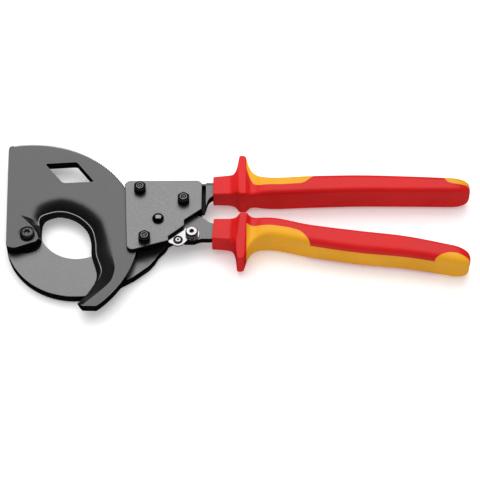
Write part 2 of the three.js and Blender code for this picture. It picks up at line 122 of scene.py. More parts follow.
def rounded(points, radius, steps, closed=True):
    """The outline with each corner cut by a curve that starts this far before it."""
    found = []
    count = len(points)
    for i, corner in enumerate(points):
        if not closed and i in (0, count - 1):
            found.append(tuple(corner))
            continue
        here = Vector(corner)
        ends = []
        for neighbour in (points[i - 1], points[(i + 1) % count]):
            side = Vector(neighbour) - here
            ends.append(here + side.normalized() * min(radius, side.length * 0.49))
        for step in range(steps + 1):
            t = step / steps
            found.append(tuple(ends[0] * (1 - t) ** 2 + here * 2 * t * (1 - t) + ends[1] * t * t))
    return found


def circle(centre, radius, sides=64):
    return [polar(radius, 360 * i / sides, centre) for i in range(sides)]


def signed_area(loop):
    return sum(
        loop[i - 1][0] * loop[i][1] - loop[i][0] * loop[i - 1][1] for i in range(len(loop))
    ) / 2


def inset(loop, distance):
    """The loop moved to its left, which is into the material."""
    found = []
    count = len(loop)
    for i, point in enumerate(loop):
        here = Vector(point)
        before = (here - Vector(loop[i - 1])).normalized()
        after = (Vector(loop[(i + 1) % count]) - here).normalized()
        normals = [Vector((-d.y, d.x)) for d in (before, after)]
        middle = (normals[0] + normals[1]).normalized()
        reach = distance / max(middle.dot(normals[0]), 0.5)
        found.append(tuple(here + middle * reach))
    return found


# ---- meshes ---------------------------------------------------------------------------

# Points closer together than this are one point.
WELD = 0.001
# A radius small enough to be welded shut.
ON_AXIS = 1e-5
TURNED_SIDES = 72


def new_object(name, verts, faces):
    """A closed mesh object in metres from points in millimetres, its faces pointing out."""
    mesh = bpy.data.meshes.new(name)
    mesh.from_pydata([tuple(ORIGIN + Vector(v) * MM) for v in verts], [], faces)
    work = bmesh.new()
    work.from_mesh(mesh)
    bmesh.ops.remove_doubles(work, verts=work.verts, dist=WELD * MM)
    bmesh.ops.recalc_face_normals(work, faces=work.faces)
    work.to_mesh(mesh)
    work.free()
    made = bpy.data.objects.new(name, mesh)
    bpy.context.scene.collection.objects.link(made)
    return made


def plate(outer, bottom, top, holes=(), edge=0, steps=3):
    """A flat plate from an outline and its holes, with edges rounded to this radius."""
    loops = [outer if signed_area(outer) > 0 else outer[::-1]]
    loops += [hole if signed_area(hole) < 0 else hole[::-1] for hole in holes]
    bends = [math.pi / 2 * i / steps for i in range(steps + 1)] if edge else [0]
    levels = [(edge * (1 - math.sin(b)), bottom + edge * (1 - math.cos(b))) for b in bends]
    levels += [(shift, top + bottom - z) for shift, z in reversed(levels)]
    verts, faces, firsts = [], [], []
    for loop in loops:
        count = len(loop)
        first = len(verts)
        firsts.append(first)
        for shift, z in levels:
            verts += [(x, y, z) for x, y in inset(loop, shift)]
        for i in range(len(levels) - 1):
            for j in range(count):
                a = first + i * count + j
                b = first + i * count + (j + 1) % count
                faces.append((a, b, b + count, a + count))
    for level in (0, len(levels) - 1):
        ids = [
            first + level * len(loop) + j
            for first, loop in zip(firsts, loops)
            for j in range(len(loop))
        ]
        rings, used = [], 0
        for loop in loops:
            rings.append([Vector(verts[i]) for i in ids[used:used + len(loop)]])
            used += len(loop)
        faces += [tuple(ids[k] for k in triangle) for triangle in tessellate_polygon(rings)]
    return new_object("plate", verts, faces)


def skin(rings):
    """A closed skin through rings of the same length, with flat ends."""
    count = len(rings[0])
    verts = [point for ring in rings for point in ring]
    faces = []
    for i in range(len(rings) - 1):
        for j in range(count):
            a = i * count + j
            b = i * count + (j + 1) % count
            faces.append((a, b, b + count, a + count))
    faces.append(tuple(range(count))[::-1])
    faces.append(tuple(range(len(verts) - count, len(verts))))
    return new_object("skin", verts, faces)


def turned(centre, profile, corner):
    """A lathe-turned piece. The profile is a line of (radius, z) from axis to axis."""
    line = rounded(profile, corner, 3, closed=False)
    rings = [
        [(x, y, z) for x, y in circle(centre, max(radius, ON_AXIS), TURNED_SIDES)]
        for radius, z in line
    ]
    return skin(rings)


def bake(target):
    """Applies the modifiers."""
    graph = bpy.context.evaluated_depsgraph_get()
    mesh = bpy.data.meshes.new_from_object(target.evaluated_get(graph))
    target.modifiers.clear()
    target.data = mesh
    return target


def combine(target, tools, operation="DIFFERENCE"):
    """Cuts the tools out of the target, or joins them to it, and uses them up."""
    for tool in tools:
        step = target.modifiers.new("combine", "BOOLEAN")
        step.object = tool
        step.operation = operation
        step.solver = "MANIFOLD"
        bake(target)
        bpy.data.objects.remove(tool)
    return target


def shade(target, sharp_degrees, weighted=True):
    """Smooth shading, with flat faces kept flat and corners kept sharp."""
    mesh = target.data
    mesh.polygons.foreach_set("use_smooth", [True] * len(mesh.polygons))
    mesh.set_sharp_from_angle(angle=math.radians(sharp_degrees))
    if weighted:
        step = target.modifiers.new("normals", "WEIGHTED_NORMAL")
        step.keep_sharp = True
        step.weight = 100
        bake(target)
    return target


FLAT_LEAN = 0.98
UPRIGHT_LEAN = 0.3


def paint_by(target, pick):
    for polygon in target.data.polygons:
        polygon.material_index = pick(polygon)


def finish_piece(target, node, slot, materials, pick=None, **shading):
    """Names the piece after its node, shades and paints it, and hands it to the frame."""
    shade(target, **shading)
    target.name = f"{node}_detail"
    target.data.name = target.name
    slots = [polygon.material_index for polygon in target.data.polygons]
    target.data.materials.clear()
    for paint in materials:
        target.data.materials.append(paint)
    target.data.polygons.foreach_set("material_index", slots)
    if pick:
        paint_by(target, pick)
    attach(target, BODY_OF[node])
    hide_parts(node)
    return target


def face_or_wall(polygon):
    """Flat faces keep their colour; upright walls get painted shade, rounded edges a painted
    highlight.
    """
    lean = abs(polygon.normal.z)
    if lean > FLAT_LEAN:
        return FACE
    return SHADED if lean < UPRIGHT_LEAN else HIGHLIGHT


# ---- materials ------------------------------------------------------------------------

# The noise textures mostly stay between these two values.
NOISE_LOW = 0.3
NOISE_HIGH = 0.7
# Colour that the broad clouds leave of the fine grain, at their darkest.
CLOUD_SHADE = 0.86
BUMP_HEIGHT = 0.05


def grey(value):
    return (value, value, value)


def shader(name, metallic=0.0, specular=0.5):
    made = bpy.data.materials.new(name)
    made.use_nodes = True
    node = made.node_tree.nodes["Principled BSDF"]
    node.inputs["Metallic"].default_value = metallic
    node.inputs["Specular IOR Level"].default_value = specular
    return made


def add_noise(made, scale, detail, stretch=(1, 1, 1)):
    nodes, links = made.node_tree.nodes, made.node_tree.links
    place = nodes.new("ShaderNodeTexCoord")
    mapping = nodes.new("ShaderNodeMapping")
    mapping.inputs["Scale"].default_value = stretch
    texture = nodes.new("ShaderNodeTexNoise")
    texture.inputs["Scale"].default_value = scale
    texture.inputs["Detail"].default_value = detail
    links.new(place.outputs["Object"], mapping.inputs["Vector"])
    links.new(mapping.outputs["Vector"], texture.inputs["Vector"])
    return texture.outputs["Fac"]


def add_ramp(made, factor, stops):
    """A colour ramp between two stops, each a position and a colour."""
    ramp = made.node_tree.nodes.new("ShaderNodeValToRGB")
    for element, (position, colour) in zip(ramp.color_ramp.elements, stops):
        element.position = position
        element.color = (*colour, 1)
    made.node_tree.links.new(factor, ramp.inputs["Fac"])
    return ramp.outputs["Color"]


def add_range(made, factor, low, high):
    node = made.node_tree.nodes.new("ShaderNodeMapRange")
    node.inputs["From Min"].default_value = NOISE_LOW
    node.inputs["From Max"].default_value = NOISE_HIGH
    node.inputs["To Min"].default_value = low
    node.inputs["To Max"].default_value = high
    made.node_tree.links.new(factor, node.inputs["Value"])
    return node.outputs["Result"]


def multiply(made, first, second):
    node = made.node_tree.nodes.new("ShaderNodeMix")
    node.data_type = "RGBA"
    node.blend_type = "MULTIPLY"
    node.inputs["Factor"].default_value = 1.0
    made.node_tree.links.new(first, node.inputs["A"])
    made.node_tree.links.new(second, node.inputs["B"])
    return node.outputs["Result"]


def finish_material(made, colour, roughness, height, bump):
    nodes, links = made.node_tree.nodes, made.node_tree.links
    surface = nodes["Principled BSDF"]
    relief = nodes.new("ShaderNodeBump")
    relief.inputs["Strength"].default_value = bump
    relief.inputs["Distance"].default_value = BUMP_HEIGHT * MM
    links.new(height, relief.inputs["Height"])
    links.new(relief.outputs["Normal"], surface.inputs["Normal"])
    links.new(colour, surface.inputs["Base Color"])
    links.new(roughness, surface.inputs["Roughness"])
    return made


def speckled(name, dark, light, roughness, bump, grain_per_m, metallic=0.0, specular=0.5,
             cloud_per_m=45, stretch=(1, 1, 1)):
    """Fine grain over broad clouds: dark and light are the two ends of the colour."""
    made = shader(name, metallic, specular)
    grain = add_noise(made, grain_per_m, 5, stretch)
    clouds = add_noise(made, cloud_per_m, 3)
    fine = add_ramp(made, grain, [(NOISE_LOW + 0.02, dark), (NOISE_HIGH - 0.02, light)])
    broad = add_ramp(made, clouds, [(NOISE_LOW, grey(CLOUD_SHADE)), (NOISE_HIGH, grey(1))])
    colour = multiply(made, fine, broad)
    rough = add_range(made, clouds, *roughness)
    return finish_material(made, colour, rough, grain, bump)


PAPER_GLOW = 0.25


def plain_paper(name, dark, light):
    """An even matt sheet with the finest of fibres, which glows a little."""
    made = shader(name, specular=0.0)
    surface = made.node_tree.nodes["Principled BSDF"]
    surface.inputs["Emission Color"].default_value = (1, 1, 1, 1)
    surface.inputs["Emission Strength"].default_value = PAPER_GLOW
    fibres = add_noise(made, 1500, 2)
    colour = add_ramp(made, fibres, [(NOISE_LOW, dark), (NOISE_HIGH, light)])
    return finish_material(made, colour, add_range(made, fibres, 0.85, 0.9), fibres, 0.01)


BLADE_FACE = speckled("ground_blade_steel", grey(0.135), grey(0.185), (0.30, 0.37), 0.2, 2600,
                      metallic=0.95)
HOOK_FACE = speckled("ground_frame_steel", grey(0.23), grey(0.3), (0.30, 0.36), 0.2, 2600,
                     metallic=0.95)
COVER_FACE = speckled("grained_cover_steel", grey(0.24), grey(0.37), (0.34, 0.42), 0.45, 1800,
                      metallic=0.95)
# Painted shade: near-black for the walls, steep bevels and recesses of steel whose faces are grey.
SHADE_BLACK = speckled("painted_shade_black", grey(0.003), grey(0.008), (0.4, 0.55), 0.4, 1500,
                      specular=0.2, stretch=(1, 1, 0.3))
# Painted highlight: brighter steel for the rounded edges, the rim land and the stud rims.
HIGHLIGHT_STEEL = speckled("painted_highlight_steel", grey(0.26), grey(0.46), (0.3, 0.42), 0.2, 2500,
                     metallic=0.95)
TANG_FACE = speckled("handle_steel", grey(0.2), grey(0.28), (0.3, 0.4), 0.25, 2200,
                     metallic=0.95)
NUT_BLACK = speckled("black_oxide", grey(0.002), grey(0.006), (0.24, 0.36), 0.2, 1800,
                     specular=0.2)
GLOSS_BLACK = speckled("polished_black_steel", grey(0.26), grey(0.32), (0.1, 0.16), 0.04, 900,
                       metallic=1.0)
SCREW_BLACK = speckled("phosphated_steel", grey(0.13), grey(0.2), (0.28, 0.38), 0.3, 2200,
                       metallic=0.95)
CHROME = speckled("polished_chrome", grey(0.66), grey(0.74), (0.12, 0.18), 0.02, 700,
                  metallic=1.0)
# Painted shade: darker chrome for the latch rivet's upright sides.
SHADED_CHROME_SIDE = speckled("chrome_side_painted_shade", grey(0.12), grey(0.2), (0.3, 0.4), 0.15, 1500,
                      metallic=0.4)
DARK_CHROME = speckled("shaded_chrome", grey(0.05), grey(0.09), (0.2, 0.3), 0.05, 900,
                       metallic=0.9)
PAPER = plain_paper("white_paper", grey(0.93), grey(0.94))
INNER_STEEL = speckled("spring_steel_bare", grey(0.28), grey(0.4), (0.28, 0.4), 0.15, 2000,
                       metallic=1.0, stretch=(1, 1, 6))
RED = speckled("moulded_red", (0.66, 0.003, 0.004), (0.74, 0.005, 0.006), (0.34, 0.42), 0.2,
               3200, specular=0.36, cloud_per_m=30)
YELLOW = speckled("moulded_yellow", (0.84, 0.37, 0.003), (0.92, 0.43, 0.004), (0.4, 0.48), 0.2,
                  3200, specular=0.4, cloud_per_m=30)


# ---- toothed blade --------------------------------------------------------------------

TOOTH_RADIUS = 74.79
TOOTH_DEPTH = 1.2
TOOTH_PITCH = 1.25
TEETH_FROM = -9
TEETH_TO = 101
# One tooth: shares of the pitch at which its floor starts and ends, and its top starts and ends.
TOOTH_SHARES = (0, 0.32, 0.5, 0.82)

# Matching points on the sharp edge, the rim above it and the hollow grind's outer border.
GRIND = (
    ((9.4, -1.5), (8.6, -1.6), (7.4, -2.5)),
    ((9.3, 6.6), (8.3, 5.6), (4.7, 4.2)),
    ((10.1, 11.8), (6.6, 11.6), (-5.5, 15.4)),
    ((12.8, 15), (8.9, 17.7), (3, 27.5)),
    ((20.8, 17.4), (20.8, 21.7), (21.2, 32.8)),
    ((31, 14.3), (32.5, 18), (38, 27.3)),
    ((38.8, 6.7), (42, 8.8), (51, 16)),
    ((42.2, -2.8), (45.6, -2), (56.2, 0)),
    ((43, -13.5), (46.8, -13.4), (58, -14)),
    ((46.3, -25), (50.4, -25), (59.4, -25.5)),
    ((46.9, -30.5), (49.4, -30.7), (58.9, -31.5)),
    ((45.3, -36), (46.1, -36.4), (57, -37.2)),
    ((41.2, -43.2), (41.9, -43.8), (51.8, -43.6)),
    ((36.2, -49.4), (36.9, -50.2), (39.4, -55.8)),
)
GRIND_STEPS = 10
# The outer border has a sharp corner at this row.
GRIND_CORNER = 2
# Two points out in the hook's open mouth, which close each level of the cutter.
GRIND_MOUTH = ((28, -54), (20, -20))
GRIND_CLEAR = 0.02

# Height of the rim along most of the edge, by the screw and at the tip.
RIM_Z = 2.0
HIGH_RIM_Z = 3.8
LOW_RIM_Z = 0.3
# Share of the steep bevel that is the land under the rim, which is painted as a bright highlight
# line, and how far it drops.
RIM_LAND = 0.14
RIM_LAND_DROP = 0.03

HOLLOW_LEVELS = 14
HOLLOW_POWER = 2.3
STEP_POWER = 4
# Share of the hollow past which the step by the screw is painted shade; this tapers away along
# STEP_ROWS.
STEP_SHARE = 0.5

# The rows of the grind between which it changes from one form to the next.
STEP_ROWS = (1.45, 2)
HIGH_ROWS = (2, 4)
BEVEL_ROWS = (6.8, 9)
TIP_ROWS = (9, 11)


def toothed_edge():
    """Teeth with flat tops and floors, as one line of points."""
    count = math.ceil((TEETH_TO - TEETH_FROM) / TOOTH_PITCH)
    floor = TOOTH_RADIUS - TOOTH_DEPTH
    return [
        polar(radius, TEETH_FROM + (i + share) * TOOTH_PITCH)
        for i in range(count)
        for share, radius in zip(TOOTH_SHARES, (floor, floor, TOOTH_RADIUS, TOOTH_RADIUS))
    ]


def ease(value, ends):
    """0 before the first end, 1 after the second, and straight between them."""
    return min(1, max(0, (value - ends[0]) / (ends[1] - ends[0])))


def rim_height(row):
    """The rim stands high by the screw and comes down to the sharp edge at the blade's tip."""
    near_screw = 1 - ease(row, HIGH_ROWS)
    near_tip = ease(row, TIP_ROWS)
    return RIM_Z + (HIGH_RIM_Z - RIM_Z) * near_screw + (LOW_RIM_Z - RIM_Z) * near_tip


def hollow_share(row, share):
    """How high the hollow stands at this share of its width.

    It is a wall by the screw, then a curve, and a flat bevel at the tip.
    """
    fade = ease(row, STEP_ROWS)
    power = HOLLOW_POWER + (1 - HOLLOW_POWER) * ease(row, BEVEL_ROWS)
    return (1 - fade) * share ** STEP_POWER + fade * (1 - (1 - share) ** power)


def between(first, last, share):
    return [tuple(Vector(a).lerp(Vector(b), share)) for a, b in zip(first, last)]


def grind_cutter():
    """What the grinding wheel takes away: a steep bevel to the rim, and a hollow above it."""
    edge, rim = (curve([row[k] for row in GRIND], GRIND_STEPS) for k in range(2))
    outer = [row[2] for row in GRIND]
    border = curve(outer[:GRIND_CORNER + 1], GRIND_STEPS)
    border += curve(outer[GRIND_CORNER:], GRIND_STEPS)[1:]
    rows = [j / GRIND_STEPS for j in range(len(rim))]

    def level(points, heights):
        filled = [*heights, heights[-1], heights[-1]]
        return [(x, y, z) for (x, y), z in zip([*points, *GRIND_MOUTH], filled)]

    rims = [rim_height(row) for row in rows]
    rings = [
        level(edge, [-GRIND_CLEAR] * len(edge)),
        level(between(rim, edge, RIM_LAND), [z - RIM_LAND_DROP for z in rims]),
        level(rim, rims),
    ]
    for i in range(1, HOLLOW_LEVELS + 1):
        share = i / HOLLOW_LEVELS
        heights = [
            z + (BLADE_TOP + GRIND_CLEAR - z) * hollow_share(row, share)
            for z, row in zip(rims, rows)
        ]
        rings.append(level(between(rim, border, share), heights))
    rings.append(level(border, [BLADE_TOP + 1] * len(border)))
    made = skin(rings)
    count = len(rings[0])
    # Painted light: the steep bevel, the whole grind by the screw and a tapering sliver of the step
    # get painted shade; the land under the rim, short of the tip, gets a painted highlight.
    for k, polygon in enumerate(made.data.polygons):
        strip, j = divmod(k, count)
        row = j / GRIND_STEPS
        share = (strip - 1) / HOLLOW_LEVELS
        step_starts = STEP_SHARE + (1 - STEP_SHARE) * ease(row, STEP_ROWS)
        if strip == 0 or row < STEP_ROWS[0] or share > step_starts:
            polygon.material_index = SHADED
        elif strip == 1 and row < TIP_ROWS[1]:
            polygon.material_index = HIGHLIGHT
    return made


def toothed_blade():
    edge = curve([row[0] for row in GRIND], GRIND_STEPS)
    window = rounded([(9, 57.9), (21.8, 41.9), (43, 43), (30.6, 59.4)], 2, 8)
    outline = [
        *arc((-9.6, -6.6), 4.2, 185, 270, 12), (-7.6, -10.9), (5.8, -5.9), *edge,
        (35.4, -51.2), (36.8, -53.9), (39, -56.6), (48, -56.8),
        *arc(PIVOT, TOOTH_RADIUS - 0.2, -48, TEETH_FROM - 1, 30),
        *toothed_edge(), polar(TOOTH_RADIUS - 0.6, 102.6), (-16.8, 70),
    ]
    made = plate(outline, BLADE_BOTTOM, BLADE_TOP, [window, circle(PIVOT, 5)], edge=0.2)
    recess = plate(circle(PIVOT, 6.2), BLADE_TOP - 0.6, BLADE_TOP + 2)
    paint_by(made, face_or_wall)
    combine(made, [grind_cutter(), recess])
    paints = [BLADE_FACE, SHADE_BLACK, HIGHLIGHT_STEEL]
    finish_piece(made, "toothed_blade", "blade_steel", paints, sharp_degrees=24)


# ---- fixed blade and housing ----------------------------------------------------------

HOOK_CENTRE = (33.1, 10.9)
HOOK_RADIUS = 26.3
# The hook's bevel on the far side, as (radius, z) from its foot to the cutting edge.
HOOK_BEVEL = ((HOOK_RADIUS + 3, -8), (HOOK_RADIUS - 0.4, -1.2))
# A shallow recess round the toothed blade's hub, painted black all over as the toothed blade's
# shadow on the fixed blade.
HUB_SHADOW_RECESS = [
    (-20, 4), (-20, -11.2), (-8.5, -11.6), (1.4, -10.9),
    (6.4, -8.9), (8.8, -5.8), (9.4, -1), (4, 4),
]
HUB_SHADOW_DEPTH = 0.9
STUD_RADIUS = 2.5
PIVOT_PIN_RADIUS = 3
COUNTERSINK = 4.4
COUNTERSINK_DEPTH = 1.2

FRONT_COVER_CORNER = [(94.6, -6.9), (94.2, -3.8)]
REAR_COVER_CORNER = [(87, -10.2), (92, -5), (94, -1.4)]


def cover_outline(corner):
    return [
        *arc((70.6, -10.4), 3.9, 183, 285, 16), *corner,
        (104.8, 5.2), (104.8, 9.5), (116.4, 18.6),
        *arc((112.6, 38), 3.9, 0, 90, 14),
        *arc((68.2, 37.8), 3.9, 92, 178, 14),
    ]


def stud_holes():
    holes = [circle(centre, STUD_RADIUS + FIT) for centre in STUDS.values()]
    return [*holes, circle(HANDLE_PIVOT, PIVOT_PIN_RADIUS + FIT)]


def fixed_blade():
    outline = [
        *arc(PIVOT, 10.6, 35, 165, 30),
        *arc((33.2, 2.7), 48, 187, 308, 90),
        (71.7, -29.6), (81.6, -21.3), (85.3, -16.4),
        *curve([(87.6, -12), (89.6, -9.6), (92, -6.8), (94, -3), (95, 2)], 5),
        (104, 9.2), (116, 18.2), (116, 40), (113.5, 41.4), (67, 41.4), (61.6, 36.5),
        *arc(HOOK_CENTRE, HOOK_RADIUS, 20, -157, 90),
    ]
    holes = [*stud_holes(), circle(PIVOT, 3.2), circle((80.6, 26.2), 1.85)]
    made = plate(outline, FRAME_BOTTOM, FRAME_TOP, holes, edge=0.35)
    bevel = skin([
        [(*point, z) for point in circle(HOOK_CENTRE, radius, 120)] for radius, z in HOOK_BEVEL
    ])
    relief = plate(rounded(HUB_SHADOW_RECESS, 2, 6), FRAME_TOP - HUB_SHADOW_DEPTH, 2)
    paint_by(made, face_or_wall)
    paint_by(bevel, face_or_wall)
    # Painted shadow: the hub recess takes the painted shade all over.
    paint_by(relief, lambda polygon: SHADED)
    combine(made, [bevel, relief])
    paints = [HOOK_FACE, SHADE_BLACK, HIGHLIGHT_STEEL]
    finish_piece(made, "fixed_blade", "blade_steel", paints, sharp_degrees=28)


def covers():
    paints = [COVER_FACE, SHADE_BLACK, HIGHLIGHT_STEEL]
    outline = cover_outline(FRONT_COVER_CORNER)
    front = plate(outline, COVER_BOTTOM, COVER_TOP, stud_holes(), edge=0.45, steps=4)
    finish_piece(front, "front_cover", "plate_steel", paints, face_or_wall, sharp_degrees=50)
    outline = cover_outline(REAR_COVER_CORNER)
    rear = plate(outline, REST_Z, REAR_COVER_TOP, stud_holes(), edge=0.4)
    sinks = [
        plate(circle(centre, COUNTERSINK), REST_Z - 1, REST_Z + COUNTERSINK_DEPTH)
        for centre in (*STUDS.values(), HANDLE_PIVOT)
    ]
    combine(rear, sinks)
    finish_piece(rear, "rear_cover", "plate_steel", paints, face_or_wall, sharp_degrees=50)


NUT_BOTTOM = COVER_TOP + SEAT
NUT_TOP = NUT_BOTTOM + 4.4
NUT_CORNER_RADIUS = 4.45
NUT_FLAT_RADIUS = 3.7
NUT_CHAMFER_SLOPE = 0.62
NUT_STEPS = 96
HEAD_RADIUS = COUNTERSINK - FIT
HEAD_TOP = REST_Z + 1.1


def hexagon_radius(degrees):
    """A hexagon with corners at 30, 90 and so on."""
    from_flat = (degrees + 30) % 60 - 30
    return NUT_CORNER_RADIUS * math.cos(math.pi / 6) / math.cos(math.radians(from_flat))


def nut(centre):
    """A hexagon nut: flats with conical chamfers, and a bore with lead-in cones."""
    angles = [360 * i / NUT_STEPS for i in range(NUT_STEPS)]
    rings = []

    def ring(radius_of, height_of):
        rings.append([(*polar(radius_of(d), d, centre), height_of(d)) for d in angles])

    def drop(degrees):
        return (hexagon_radius(degrees) - NUT_FLAT_RADIUS) * NUT_CHAMFER_SLOPE

    bore = STUD_RADIUS + FIT
    ring(lambda d: bore, lambda d: NUT_BOTTOM + 0.4)
    ring(lambda d: bore + 0.4, lambda d: NUT_BOTTOM)
    ring(lambda d: NUT_FLAT_RADIUS, lambda d: NUT_BOTTOM)
    ring(hexagon_radius, lambda d: NUT_BOTTOM + drop(d))
    ring(hexagon_radius, lambda d: NUT_TOP - drop(d))
    ring(lambda d: NUT_FLAT_RADIUS, lambda d: NUT_TOP)
    ring(lambda d: bore + 0.5, lambda d: NUT_TOP)
    ring(lambda d: bore, lambda d: NUT_TOP - 0.5)
    verts = [point for each in rings for point in each]
    faces = []
    for i in range(len(rings)):
        here = i * NUT_STEPS
        there = (i + 1) % len(rings) * NUT_STEPS
        for j in range(NUT_STEPS):
            k = (j + 1) % NUT_STEPS
            faces.append((here + j, here + k, there + k, there + j))
    return new_object("nut", verts, faces)


# Painted highlight: the faces of the stud's top rim get the bright steel, the rest stays black.
def on_stud_rim(polygon):
    return int(polygon.center.z > ORIGIN.z + (NUT_TOP + 0.4) * MM)


def studs_and_nuts():
    for name, centre in STUDS.items():
        finish_piece(nut(centre), f"nut_{name}", "black_steel", [NUT_BLACK], sharp_degrees=20)
        profile = [
            (0, REST_Z + SEAT), (HEAD_RADIUS, REST_Z + SEAT), (HEAD_RADIUS, HEAD_TOP),
            (STUD_RADIUS, HEAD_TOP), (STUD_RADIUS, NUT_TOP + 0.5), (2.4, NUT_TOP + 0.7),
            (1.95, NUT_TOP + 0.7), (1.8, NUT_TOP + 0.1), (1.1, NUT_TOP + 0.1),
            (1, NUT_TOP + 0.45), (0.65, NUT_TOP + 0.45), (0.5, NUT_TOP), (0, NUT_TOP),
        ]
        stud = turned(centre, profile, 0.08)
        finish_piece(stud, f"stud_{name}", "black_steel", [NUT_BLACK, HIGHLIGHT_STEEL], on_stud_rim,
                     sharp_degrees=35)


DOME_RADIUS = 4
DOME_HEIGHT = 2.2
DOME_FOOT = COVER_TOP + 0.7


def handle_pivot_pin():
    """The domed pin, with its head set into the rear cover."""
    dome = [
        (DOME_RADIUS * math.cos(angle), DOME_FOOT + DOME_HEIGHT * math.sin(angle))
        for angle in (math.radians(9 * i) for i in range(1, 10))
    ]
    profile = [
        (0, REST_Z + SEAT), (HEAD_RADIUS, REST_Z + SEAT), (HEAD_RADIUS, HEAD_TOP),
        (PIVOT_PIN_RADIUS, HEAD_TOP), (PIVOT_PIN_RADIUS, COVER_TOP + SEAT),
        (DOME_RADIUS, COVER_TOP + SEAT), (DOME_RADIUS, DOME_FOOT), *dome,
        (0, DOME_FOOT + DOME_HEIGHT),
    ]
    made = turned(HANDLE_PIVOT, profile, 0.15)
    finish_piece(made, "handle_pivot_pin", "black_steel", [GLOSS_BLACK], sharp_degrees=50,
                 weighted=False)


SCREW_SIDES = 96
LOBE_MIDDLE = 2.15
LOBE_DEPTH = 0.36


def blade_screw():
    """A domed screw head with a six-lobe recess."""
    seat = BLADE_TOP - 0.5
    recess_floor = seat + 1.2
    angles = [360 * i / SCREW_SIDES for i in range(SCREW_SIDES)]
    rings = []

    def round_ring(radius, z):
        rings.append([(*polar(radius, d), z) for d in angles])

    def lobed_ring(size, z):
        rings.append([
            (*polar(size * (LOBE_MIDDLE + LOBE_DEPTH * math.cos(math.radians(6 * d))), d), z)
            for d in angles
        ])

    for radius, z in rounded([
        (ON_AXIS, -6.9), (2.9, -6.9), (2.9, seat), (5, seat), (5, seat + 1.5), (4.3, seat + 2.5),
        (3.2, seat + 2.95), (2.75, seat + 3.02),
    ], 0.3, 4, closed=False):
        round_ring(radius, z)
    lobed_ring(1.03, seat + 3.05)
    lobed_ring(0.96, seat + 2.85)
    lobed_ring(0.92, recess_floor)
    round_ring(0.4, recess_floor - 0.3)
    finish_piece(skin(rings), "blade_pivot_screw", "black_steel", [SCREW_BLACK],
                 sharp_degrees=40)


# ---- handles --------------------------------------------------------------------------

# Middle of each grip, seen from above: (x, y, width).
UPPER_LINE = (
    (123, 37.3, 14.8), (134, 37.6, 15.4), (165, 35.9, 14.4), (189, 37, 14.7),
    (222, 37.9, 14.4), (254, 37.4, 13.6), (285, 36.5, 12.4), (299, 35.9, 12),
)
LOWER_LINE = (
    (123, 2.1, 16.4), (134, 1.9, 16.6), (164, 1.8, 15.2), (188, -3.6, 15),
    (220, -8.9, 15.8), (252, -12.9, 15), (280, -18.7, 13.6), (297, -22.8, 13),
)
CORE_HALF = 4
CORE_STATIONS = [132 + 7.3 * i for i in range(21)]


def along(table, column):
    """A smooth function of x through one column of a table."""

    def value(x):
        i = max(1, next((k for k, row in enumerate(table) if row[0] >= x), len(table) - 1))
        before, after = table[i - 1], table[i]
        run = after[0] - before[0]
        share = min(1, max(0, (x - before[0]) / run))

        def slope(k):
            a, b = table[max(0, k - 1)], table[min(len(table) - 1, k + 1)]
            return (b[column] - a[column]) / (b[0] - a[0])

        s2, s3 = share ** 2, share ** 3
        return (
            (2 * s3 - 3 * s2 + 1) * before[column] + (s3 - 2 * s2 + share) * run * slope(i - 1)
            + (3 * s2 - 2 * s3) * after[column] + (s3 - s2) * run * slope(i)
        )

    return value


def core_sides(line, half):
    middle = along(line, 1)
    upper = [(x, middle(x) + half) for x in CORE_STATIONS]
    lower = [(x, middle(x) - half) for x in CORE_STATIONS]
    return upper, lower


def fixed_handle():
    upper, lower = core_sides(UPPER_LINE, CORE_HALF)
    outline = [
        (119.2, 42.2), (128, 42.2), *upper, *reversed(lower), (128, 31.6),
        *curve([(124.6, 31.3), (121.8, 29.6), (120.2, 26.4), (119.3, 22.6), (118.2, 19.2)], 6),
        (98, 19.2), (92.5, 20.6), (85, 30), *arc(PIVOT, TOOTH_RADIUS + 1.2, 23.3, 32.6, 16),
        (119.2, 41.2),
    ]
    holes = [circle(centre, STUD_RADIUS + FIT) for centre in STUDS.values() if centre[0] > 100]
    made = plate(outline, HANDLE_BOTTOM, FIXED_HANDLE_TOP, holes, edge=0.3)
    relief = plate([(116.6, 15), (119.1, 15), (119.1, 39.8), (116.6, 39.8)], 2.8, 8)
    combine(made, [relief])
    # Painted shade: all faces left of groove_end, the relief and the thin strip above it, are
    # painted black for the dark band beside the cover's edge.
    groove_end = ORIGIN.x + 119.3 * MM

    def pick(polygon):
        return SHADED if polygon.center.x < groove_end else face_or_wall(polygon)

    paints = [TANG_FACE, SHADE_BLACK, HIGHLIGHT_STEEL]
    finish_piece(made, "fixed_handle", "handle_steel", paints, pick, sharp_degrees=28)


DRIVE_PAWL_PIN = (79.3, 7.3)


